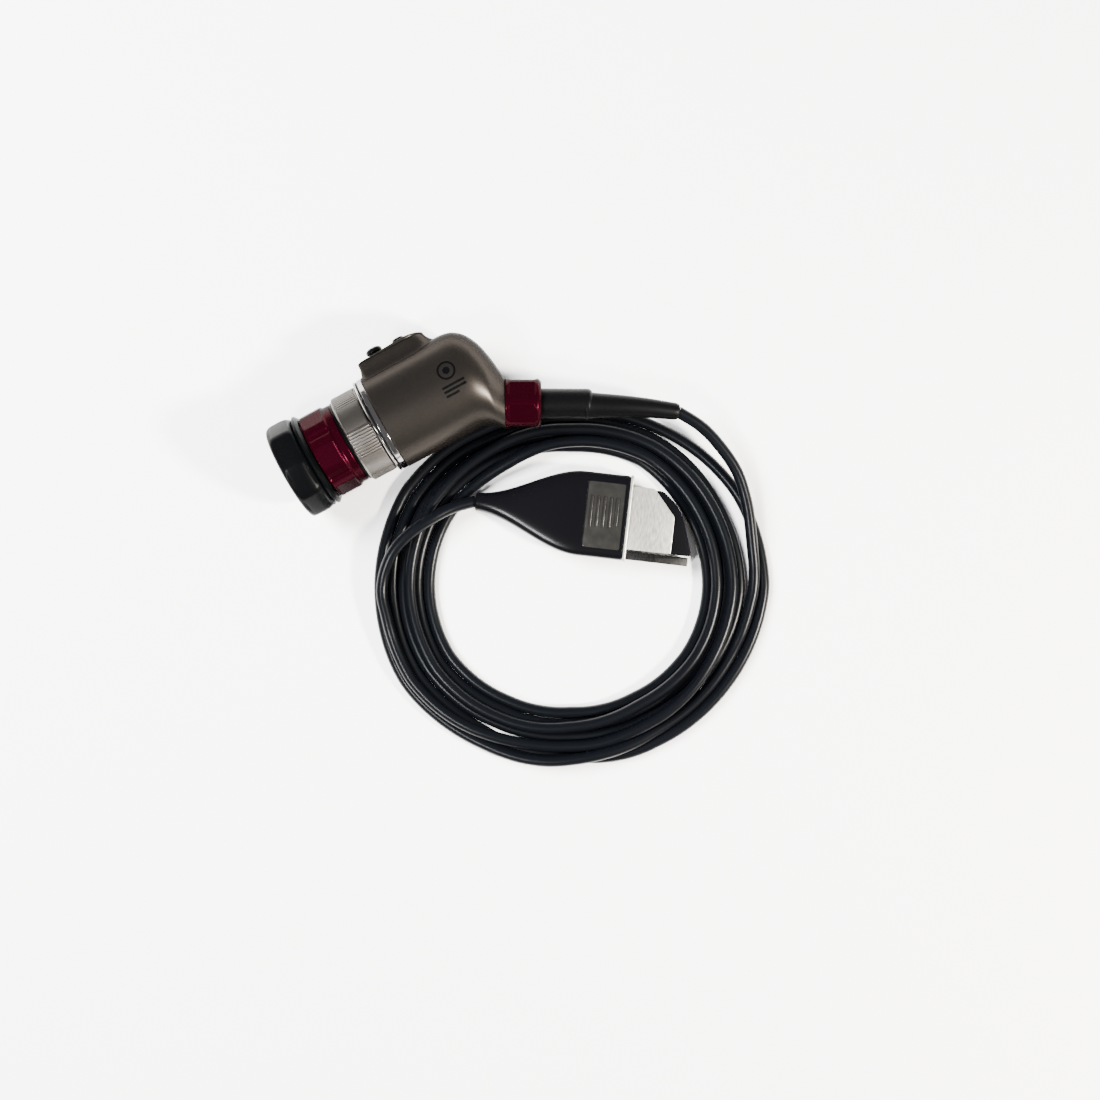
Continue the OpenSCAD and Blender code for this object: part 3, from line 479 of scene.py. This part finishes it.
def knob(profile, place, radius=0.3, sides=64):
    """Solid turned from an open line of (along, radius) points, closed at both ends."""
    steps = 4
    pts = [np.array(profile[0], float)]
    for a, b, c in zip(profile[:-2], profile[1:-1], profile[2:]):
        corners = rounded([a, b, c], radius, steps)
        pts += list(corners[steps + 1:2 * (steps + 1)])
    pts.append(np.array(profile[-1], float))
    phi = np.linspace(0, 2 * pi, sides, endpoint=False)
    rings = [np.stack([r * np.cos(phi), r * np.sin(phi), np.full(sides, along)], -1)
             for along, r in pts]
    return skin(place(np.array(rings)), caps=True)


# ---------------------------------------------------------------- repeated details

def repeat_tree():
    """Rows of copies: each copy is moved and turned one step on, and each row one row on."""
    tree = bpy.data.node_groups.new("rows_of_copies", "GeometryNodeTree")
    face = tree.interface
    face.new_socket("Geometry", in_out="INPUT", socket_type="NodeSocketGeometry")
    for name in ("Copies", "Rows"):
        face.new_socket(name, in_out="INPUT", socket_type="NodeSocketInt")
    for name in ("Start", "Step Move", "Row Move", "Step Turn", "Row Turn"):
        face.new_socket(name, in_out="INPUT", socket_type="NodeSocketVector")
    face.new_socket("Finish", in_out="INPUT", socket_type="NodeSocketMaterial")
    face.new_socket("Geometry", in_out="OUTPUT", socket_type="NodeSocketGeometry")
    nodes, links = tree.nodes, tree.links
    given, result = nodes.new("NodeGroupInput"), nodes.new("NodeGroupOutput")

    def maths(kind, a, b):
        node = nodes.new("ShaderNodeMath")
        node.operation = kind
        for socket, value in zip(node.inputs, (a, b)):
            if value is not None:
                links.new(value, socket)
        return node.outputs[0]

    def scaled(vector, amount):
        node = nodes.new("ShaderNodeVectorMath")
        node.operation = "SCALE"
        links.new(vector, node.inputs[0])
        links.new(amount, node.inputs["Scale"])
        return node.outputs[0]

    def added(a, b):
        node = nodes.new("ShaderNodeVectorMath")
        links.new(a, node.inputs[0])
        links.new(b, node.inputs[1])
        return node.outputs[0]

    index = nodes.new("GeometryNodeInputIndex").outputs[0]
    step = maths("MODULO", index, given.outputs["Copies"])
    row = maths("FLOOR", maths("DIVIDE", index, given.outputs["Copies"]), None)
    move = added(scaled(given.outputs["Step Move"], step), scaled(given.outputs["Row Move"], row))
    turn = added(scaled(given.outputs["Step Turn"], step), scaled(given.outputs["Row Turn"], row))
    dots = nodes.new("GeometryNodePoints")
    links.new(maths("MULTIPLY", given.outputs["Copies"], given.outputs["Rows"]), dots.inputs["Count"])
    links.new(added(given.outputs["Start"], move), dots.inputs["Position"])
    copies = nodes.new("GeometryNodeInstanceOnPoints")
    links.new(dots.outputs[0], copies.inputs["Points"])
    links.new(given.outputs["Geometry"], copies.inputs["Instance"])
    links.new(turn, copies.inputs["Rotation"])
    real = nodes.new("GeometryNodeRealizeInstances")
    links.new(copies.outputs[0], real.inputs[0])
    paint = nodes.new("GeometryNodeSetMaterial")
    links.new(real.outputs[0], paint.inputs["Geometry"])
    links.new(given.outputs["Finish"], paint.inputs["Material"])
    links.new(paint.outputs[0], result.inputs[0])
    return tree


def repeated(name, shape, slot, body, **given):
    """Copies of one small shape by the rows_of_copies tree, baked into a finished mesh."""
    obj = piece(name, *shape, slot, body, ())
    tree = bpy.data.node_groups.get("rows_of_copies") or repeat_tree()
    modifier = obj.modifiers.new("copies", "NODES")
    modifier.node_group = tree
    sockets = {s.name: s.identifier for s in tree.interface.items_tree if s.in_out == "INPUT"}
    still = dict.fromkeys(("Start", "Step Move", "Row Move", "Step Turn", "Row Turn"), (0, 0, 0))
    values = {"Rows": 1, "Finish": LOOK[slot], **still}
    values.update({key.replace("_", " "): value for key, value in given.items()})
    for key, value in values.items():
        modifier[sockets[key]] = value
    bpy.context.view_layer.update()
    seen = obj.evaluated_get(bpy.context.evaluated_depsgraph_get())
    mesh = bpy.data.meshes.new_from_object(seen)
    obj.modifiers.remove(modifier)
    obj.data = mesh
    return obj


def cut(obj, *tools):
    """Cuts other shapes out of a piece and bakes the result."""
    for tool in tools:
        knife = piece("knife", *tool, "steel", "head", ())
        modifier = obj.modifiers.new("cut", "BOOLEAN")
        modifier.object, modifier.solver = knife, "EXACT"
        bpy.context.view_layer.update()
        seen = obj.evaluated_get(bpy.context.evaluated_depsgraph_get())
        mesh = bpy.data.meshes.new_from_object(seen)
        obj.modifiers.remove(modifier)
        obj.data = mesh
        bpy.data.objects.remove(knife)
    obj.data.set_sharp_from_angle(angle=SHARP_FROM)


# ---------------------------------------------------------------- coupler and rings

def fade(along, start, end, over):
    """1 well inside start and end, falling to 0 at them."""
    return np.clip(min(along - start, end - along) / over, 0, 1)


def scallops(count, width, depth, top, along_from, along_to):
    """Shallow hollows round a ring, fading out towards both of its ends."""
    def shape(along, r, phi):
        phase = (phi * count / (2 * pi)) % 1 - 0.5
        hollow = np.clip(1 - (phase / width) ** 2, 0, 1)
        deep = depth * hollow * fade(along, along_from, along_to, 1.2)
        return np.where(r > top, r - deep, r)
    return shape


def make_coupler_ring():
    """Black grip ring with a pocket for the jaws behind its front lip."""
    outline = [(0, 16.45), (0, 18.6), (0.5, 19.8), (1.4, 20.5), (2.6, 20.8), (4.4, 20.85),
               (7.6, 20.85), (9.6, 20.5), (11.0, 19.6), (11.55, 18.7), (11.55, 18.32),
               (5.65, 18.32), (5.65, 19.85), (1.35, 19.8), (1.35, 16.8), (3.08, 16.8),
               (3.08, 16.45)]
    shape = scallops(count=9, width=0.44, depth=0.75, top=20, along_from=0.8, along_to=11)
    piece("coupler_ring_look", *turned(outline, radius=0.9, sides=216, shape=shape),
          "anodised_black", "coupler_ring", ["coupler_ring"])


def make_focus_ring():
    """Red ring: a crown of six lobes, a plain collar, and a groove inside for the drive pin."""
    crown, lobe_count, flat_depth, valley_depth = 18.2, 6, 0.55, 0.76
    half_lobe = pi / lobe_count
    outline = [(14.5, RING_BORE_R), (14.5, 17.55), (15.25, crown), (16.2, crown), (23.3, crown),
               (24.3, crown), (25.1, 17.45), (25.6, 17.3), (27.8, 17.3), (28.3, 16.9),
               (28.3, RING_BORE_R), (22.25, RING_BORE_R), (22.25, 17.38), (17.25, 17.38),
               (17.25, RING_BORE_R)]

    def lobes(along, r, phi):
        part = (phi + radians(20)) % (2 * half_lobe) - half_lobe
        deep = fade(along, 14.6, 25.2, 1.2)
        flat = (crown - flat_depth * deep) / np.cos(np.clip(part, -0.3, 0.3))
        valley = crown - valley_depth * deep * np.clip((np.abs(part) - 0.42) / 0.07, 0, 1)
        return np.where(r > 17.4, np.minimum(np.minimum(r, flat), valley), r)
    piece("focus_ring_look", *turned(outline, radius=0.35, sides=360, shape=lobes),
          "anodised_red", "focus_ring", ["focus_ring"])


def make_zoom_ring():
    """Silver ring with sectors of fine ribs, and a groove inside for the drive pin."""
    crown, between_ribs = 18.75, 18.35
    sectors, ribs, rib_turn = 5, 9, 4
    sector_turn = 360 / sectors
    outline = [(29.3, RING_BORE_R), (29.3, 17.7), (30.2, crown), (31, crown), (39.4, crown),
               (40.2, crown), (40.9, 18.1), (40.9, RING_BORE_R), (39.1, RING_BORE_R),
               (39.1, 17.45), (31.1, 17.45), (31.1, RING_BORE_R)]

    def ribbed_sectors(along, r, phi):
        ribbed = (np.degrees(phi) + rib_turn / 2) % sector_turn < ribs * rib_turn
        return np.where(ribbed & (r > between_ribs), between_ribs, r)
    piece("zoom_ring_look", *turned(outline, radius=0.6, sides=360, shape=ribbed_sectors),
          "satin_nickel", "zoom_ring", ["zoom_ring"])
    rib = slab([(-40.2, -0.42), (-30.1, -0.42), (-30.1, 0.42), (-40.2, 0.42)], 18.1, 18.82,
               place=lambda p: p + [HEAD[0], 0, 0], bevel=0.25)
    repeated("zoom_ring_ribs", rib, "satin_nickel", "zoom_ring", Copies=ribs, Rows=sectors,
             Start=(0, HEAD[1] * MM, HEAD[2] * MM), Step_Turn=(radians(-rib_turn), 0, 0),
             Row_Turn=(radians(-sector_turn), 0, 0))


def make_bezel_ring():
    """Bright ring at the housing's mouth, with a dark rubber strip in its groove as painted shade."""
    outline = [(41.1, 19.14), (41.1, 20.1), (41.45, 20.45), (41.95, 20.45), (42.15, 19.75),
               (42.65, 19.75), (42.85, 20.45), (44.75, 20.45), (45, 20.2), (45, 19.14)]
    piece("bezel_ring_look", *turned(outline, radius=0.14), "bright_chrome", "head", ["bezel_ring"])
    # Dark strip laid in the groove: painted shade, given the seal_rubber finish
    groove = [(42.12, 19.6), (42.12, 19.95), (42.7, 19.95), (42.7, 19.6)]
    piece("bezel_groove_painted_shade", *turned(groove, radius=0.05), "seal_rubber", "head", ())


# ---------------------------------------------------------------- housing

# Button pad: its front, length and width, the top of its walls, and its cover's two faces
PAD_S, PAD_L, PAD_W = 46.7, 29.7, 17
PAD_TOP, COVER_LOW, COVER_TOP = 24.75, 24.85, 26.3
FRONT_BUTTON, REAR_BUTTON = 8.3, 19.3


def pad_place(points):
    """Points of the button pad: along it, across it and out from the optical axis."""
    p = np.asarray(points, float)
    along = PAD_S + np.maximum(p[..., 0], -1.4)
    return head(np.stack([p[..., 1], -p[..., 2], along], -1))


def pad_outline(inset=0.0):
    """Outline of the pad, round at the rear and square at the front, drawn in by the inset."""
    half, corner = PAD_W / 2 - inset, max(0.5, 2 - inset)
    pts = []
    for k in range(25):
        a = -pi / 2 + pi * k / 24
        pts.append((PAD_L - PAD_W / 2 + half * cos(a), half * sin(a)))
    for side in (1, -1):
        for k in range(7):
            a = pi / 2 + pi / 2 * k / 6 if side > 0 else pi + pi / 2 * k / 6
            pts.append((inset + corner + corner * cos(a), side * (half - corner) + corner * sin(a)))
    return pts


def make_housing():
    """Barrel with a lopsided dome that ends in the gland's face, and the walls of the button pad."""
    # Each section: (along, side) at the pad's side and at the far side, then half its height
    keys = [(45.3, -HOUSING_R, 45.3, HOUSING_R, HOUSING_R),
            (55, -HOUSING_R, 55, HOUSING_R, HOUSING_R),
            (68, -HOUSING_R, 67, HOUSING_R, HOUSING_R),
            (77, -HOUSING_R, 75, HOUSING_R, HOUSING_R),
            (82.5, -20.55, 79.5, 20.8, 20.6), (87.0, -19.3, 82.2, 21.5, 20.0),
            (91.2, -15.8, 84.0, 22.6, 18.6), (94.3, -9.8, 85.3, 23.8, 16.6),
            (95.9, -3.2, 86.2, 24.7, 14.2), (96.7, 3.2, 86.9, 25.4, 12.0),
            (97.1, 7.9, 87.7, 26.0, 10.25)]
    line = smooth_line(keys, 8)
    phi = np.linspace(0, 2 * pi, 128, endpoint=False)

    def ring(k, grow=0.0):
        top, low, up = k[0:2], k[2:4], k[4]
        middle, half = (top + low) / 2, (top - low) / 2
        wide = np.linalg.norm(half)
        half = half / wide * (wide + grow)
        flat = middle + np.outer(np.cos(phi), half)
        return np.stack([(up + grow) * np.sin(phi), flat[:, 1], flat[:, 0]], -1)
    mouth = np.array([45, -HOUSING_R, 45, HOUSING_R, HOUSING_R])
    face = line[-1]
    out = np.array([sin(GLAND_TILT), cos(GLAND_TILT)])
    rings = [ring(mouth, -1.5), ring(mouth, -0.3)] + [ring(k) for k in line]
    rings += [ring(face, -0.25) + [0, *out * 0.06], ring(face, -1.8) + [0, *out * 0.08]]
    shell = skin(head(np.array(rings)))
    foot, rear_flare = 16.3, 6
    walls = []
    for height, inset in ((foot, -3.4), (17.5, -2.3), (18.7, -1.45), (20.1, -0.8), (21.6, -0.3),
                          (23, -0.05), (24.5, 0), (PAD_TOP, 0.15), (PAD_TOP, 1.5)):
        pts = np.array(pad_outline(inset))
        rear = np.clip((pts[:, 0] - PAD_L + PAD_W / 2) / (PAD_W / 2), 0, 1)
        pts[:, 0] += rear_flare * rear * ((PAD_TOP - height) / (PAD_TOP - foot)) ** 1.5
        walls.append(np.column_stack([pts, np.full(len(pts), height)]))
    pad = skin(pad_place(np.array(walls)))
    piece("housing_look", *join(shell, pad), "titanium", "head", ["housing_shell"])


def make_pad_cover():
    """Cover plate that slopes down at its front and rear, with two button holes."""
    front_slope, rear_slope, rear_from = 7.5, 9, 21

    def lowered(points):
        p = np.array(points, float)
        front = np.clip(1 - p[..., 0] / front_slope, 0, 1)
        rear = np.clip((p[..., 0] - rear_from) / rear_slope, 0, 1)
        high = np.clip(p[..., 2] - COVER_LOW, 0, 2)
        p[..., 2] -= high * (0.9 * front ** 1.4 + 0.75 * rear ** 2)
        return pad_place(p)
    cover = slab(pad_outline(), COVER_LOW, COVER_TOP, place=lowered, bevel=0.7)
    obj = piece("button_cover_look", *cover, "titanium", "head", ["button_cover"])
    holes = [knob([(24, 2.8), (28, 2.8)], button_place(along), radius=0.1)
             for along in (FRONT_BUTTON, REAR_BUTTON)]
    cut(obj, *holes)


def button_place(along):
    """Frame of a button that sits that far along the pad."""
    def place(p):
        p = np.asarray(p, float)
        return pad_place(np.stack([along + p[..., 1], p[..., 0], p[..., 2]], -1))
    return place


def make_buttons():
    """Front button with a wide cap, and a low plain rear button."""
    front = [(24.6, 2.74), (27.2, 2.74), (27.25, 3.45), (28.6, 3.45), (29.4, 2.4), (29.5, 0.02)]
    rear = [(24.6, 2.74), (27.4, 2.74), (28.2, 2.2), (28.3, 0.02)]
    piece("front_button_look", *knob(front, button_place(FRONT_BUTTON), radius=0.4), "button_rubber",
          "front_button", ["front_button"])
    piece("rear_button_look", *knob(rear, button_place(REAR_BUTTON), radius=0.4), "button_rubber",
          "rear_button", ["rear_button"])


def make_mark():
    """Generic etched mark on the housing: a plain aperture sign with three bars."""
    lift, sink, bar_width = 0.03, -0.1, 0.9
    parts = []

    def on_housing(points, height):
        s, y = points[:, 0], points[:, 1]
        return head(np.stack([np.sqrt(HOUSING_R ** 2 - y ** 2) + height, y, s], -1))

    def strip(outer, inner):
        rings = [on_housing(outer, lift), on_housing(inner, lift), on_housing(inner, sink),
                 on_housing(outer, sink)]
        parts.append(skin(np.array(rings), loop=True))
    phi = np.linspace(0, 2 * pi, 48, endpoint=False)
    circle = np.stack([np.cos(phi), np.sin(phi)], -1)
    middle = np.array([77.5, -4.0])
    strip(middle + circle * 3.8, middle + circle * 3.0)
    strip(middle + circle * 1.5, middle + circle * 0.02)
    for y, s0, s1 in ((1.6, 72.6, 82.4), (3.4, 72.6, 82.4), (5.2, 72.6, 78.4)):
        bar = np.array([(s0, y), (s1, y), (s1, y + bar_width), (s0, y + bar_width)])
        fine = np.concatenate([np.linspace(bar[i], bar[(i + 1) % 4], 8)[:-1] for i in range(4)])
        core = fine.mean(0) + (fine - fine.mean(0)) * [0.98, 0.05]
        strip(fine, core)
    piece("housing_mark", *join(*parts), "anodised_black", "head", ())


# ---------------------------------------------------------------- cable exit

def make_gland_nut():
    """Red nut whose six flats fade out towards both of its ends."""
    crown, bore, flat_depth = 10.35, 8.46, 0.85
    outline = [(0, bore), (0, 9.9), (0.45, crown), (1.2, crown), (2.4, crown), (11.6, crown),
               (12.8, crown), (13.6, crown), (14.9, 9.2), (14.9, 6.36), (8.5, 6.36), (8.5, bore)]

    def hexed(along, r, phi):
        part = phi % (pi / 3) - pi / 6
        flat = (crown - flat_depth * fade(along, 0.9, 13.4, 1.4)) / np.cos(part)
        return np.where(r > 10, np.minimum(r, flat), r)
    piece("gland_nut_look", *turned(outline, place=gland, radius=0.5, sides=240, shape=hexed),
          "anodised_red", "head", ["gland_nut"])


def make_boot():
    """Black rubber cylinder behind the nut."""
    profile = [(7.1, 0.02), (7.1, 8.3), (8.3, 8.3), (8.35, 6.3), (15.3, 6.3), (34.6, 6.2),
               (35.9, 5.2), (35.9, 0.02)]
    return piece("boot_look", *knob(profile, gland, radius=0.5), "boot_rubber", "head", ["boot"])


def make_sleeve():
    """Strain relief that tapers from inside the boot to the cable."""
    inside_boot, thick_r, taper = [-66.3, 31.6, 20.9], 5.95, 2.5
    line = smooth_line([inside_boot, *SLEEVE], 12)
    t = np.clip(np.linspace(-0.08, 1, len(line)), 0, 1)
    radii = thick_r - taper * t ** 0.9
    radii[-2:] = radii[-1] - 0.05, radii[-1] - 0.35
    return piece("boot_sleeve_look", *hose(line, radii), "boot_rubber", "head", ["boot_sleeve"])


# ---------------------------------------------------------------- plug

def make_overmould():
    """Black body that widens from the cable, with a sunk panel on each face for the grip pads."""
    length, taper, sides = 64, 45, 96
    neck_r, more_wide, more_thick, middle = 3.9, 14.0, 3.1, 7
    phi = np.linspace(0, 2 * pi, sides, endpoint=False)
    c, s = np.cos(phi), np.sin(phi)
    rings = []
    for x in np.concatenate([[0, 0.5], np.linspace(1.5, 46, 38), [50, 55, 60, 63.4, length]]):
        t = min(1, x / taper)
        grown = t * t * (3 - 2 * t)
        shrink = 0.5 if x in (0, length) else 0
        wide, thick = neck_r + more_wide * grown - shrink, neck_r + more_thick * grown - shrink
        power = 2 / (2 + 5 * grown)
        y = np.sign(c) * np.abs(c) ** power * wide
        z = middle + np.sign(s) * np.abs(s) ** power * thick
        rings.append(np.stack([np.full(sides, x), y, z], -1))
    shape = skin(plug(np.array(rings)), caps=True)
    obj = piece("plug_overmould_look", *shape, "plug_black", "head", ["plug_overmould"])
    panel = oblong(46.4, 62.6, -14.1, 14.1, 1.2)
    cut(obj, slab(panel, 13.5, 15, bevel=0.05), slab(panel, -1, 0.5, bevel=0.05))
    return obj


def make_grip_pads():
    """Pads in the overmould's panels; the upper one carries a bar and a row of ridges."""
    low, top, ridge_pitch = 13.4, 13.98, 2.7
    pad = oblong(46.55, 62.45, -13.95, 13.95, 1.1)
    bar = oblong(58.8, 60.4, -4, 8, 0.7)
    pads = join(slab(pad, 13.1, 13.56, bevel=0.2), slab(pad, 0.44, 0.9, bevel=0.2),
                slab(bar, low, top, bevel=0.35))
    main = piece("plug_grip_pads_look", *pads, "plug_pad", "head", ["plug_grip_pads"])
    ridge = slab(oblong(48.2, 49.4, -5, 8, 0.5), low, top, bevel=0.4)
    step = ridge_pitch * MM
    ridges = repeated("plug_ridges", ridge, "plug_pad", "head", Copies=4,
                      Step_Move=(step * cos(PLUG_TURN), step * sin(PLUG_TURN), 0))
    return main, ridges


def rim_place(points):
    """Points of an upright slab across the plug: across it, up, and along the plug."""
    p = np.asarray(points, float)
    return plug(np.stack([p[..., 2], p[..., 0], p[..., 1]], -1))


def make_plug_shell():
    """Rim round the overmould's end, with a cut-cornered plate above and below the insulator."""
    start, end, bottom, top = 65.1, 84, -13, 13.6
    rim = oblong(-18.2, 18.2, 0.02, 13.9, 1.6)
    plate = rounded([(start, bottom), (end, bottom), (end, top - 11), (end - 9.6, top),
                     (start, top)], 0.8)
    parts = [slab(rim, 64.02, 65.25, place=rim_place, bevel=0.45),
             slab(plate, 1.3, 2.8, bevel=0.25), slab(plate, 11.2, 12.7, bevel=0.25)]
    return piece("plug_shell_look", *join(*parts), "plug_metal", "head", ["plug_shell"])


def make_insulator():
    """Black core between the shell's plates, with a corner cut off that clears the coil."""
    outline = rounded([(65.3, -12.98), (93, -12.98), (88, 1.98), (84.3, 8), (78.4, 12.98),
                       (65.3, 12.98)], 1.6)
    shape = slab(outline, 2.83, 11.17, bevel=0.4)
    return piece("plug_insulator_look", *shape, "plug_black", "head", ["plug_insulator"])


def make_rail():
    """Dark metal guide along one side of the shell."""
    shape = slab(oblong(65.27, 91.5, -17.3, -13.62, 0.4), 2.4, 11.6, bevel=0.35)
    return piece("plug_rail_look", *shape, "plug_rail_metal", "head", ["plug_rail"])


# ---------------------------------------------------------------- the whole object

make_camera()
make_floor()
make_world()
make_light("window", 150, 50, 1.3, 0.7, 100, mirrored=False)
make_light("lamp", -15, 40, 1.0, 0.12, 48, (1, 0.94, 0.84))
make_light("small_lamp", 218, 58, 0.9, 0.14, 11)
LOOK = make_materials()

# Inner pieces keep their own meshes, each in its slot's finish
for part in frame["record"]["subparts"]:
    mesh = frame["nodes"][part["node"]].data
    mesh.materials.clear()
    mesh.materials.append(LOOK[part["material_slot"]])

make_coupler_ring()
make_focus_ring()
make_zoom_ring()
make_bezel_ring()
make_housing()
make_pad_cover()
make_buttons()
make_mark()
make_gland_nut()
cable_pieces = [make_boot(), make_sleeve(), make_overmould(), *make_grip_pads(),
                make_plug_shell(), make_insulator(), make_rail(), "plug_board", "plug_contacts"]
cord, cord_length, cord_exit = make_cord()
